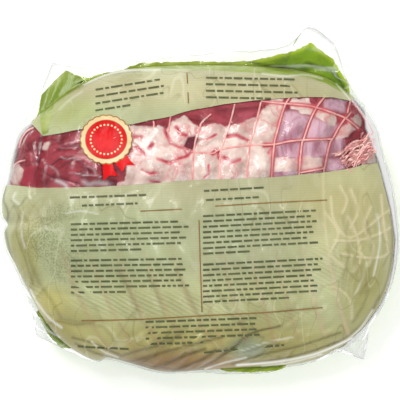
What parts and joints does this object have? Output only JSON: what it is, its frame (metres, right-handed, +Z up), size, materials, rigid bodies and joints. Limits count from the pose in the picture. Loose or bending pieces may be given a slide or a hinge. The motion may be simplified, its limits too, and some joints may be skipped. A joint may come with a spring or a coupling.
{
  "type": "packed raw leg of lamb",
  "caption": "Netted boneless leg of lamb sealed in a printed shrink bag with a clear window, lying on its front panel.",
  "frame": {"origin": "under the middle of the pack's box, on the plane it rests on", "axes": "+X along the pack's width, +Y towards the bag's sealed end, +Z up out of the shown side"},
  "size_m": [0.264, 0.2292, 0.0777],
  "materials": {
    "bag_film": "glossy shrink film, printed pale grey green with a clear window, bright green on the other panel",
    "raw_meat": "moist raw lamb, dark red muscle with creamy fat",
    "net_string": "white elastic string, stained pink",
    "seal_print": "red and cream print under gloss"
  },
  "bodies": {
    "root": {"filled_bag": "bag_film"}
  },
  "joints": []
}
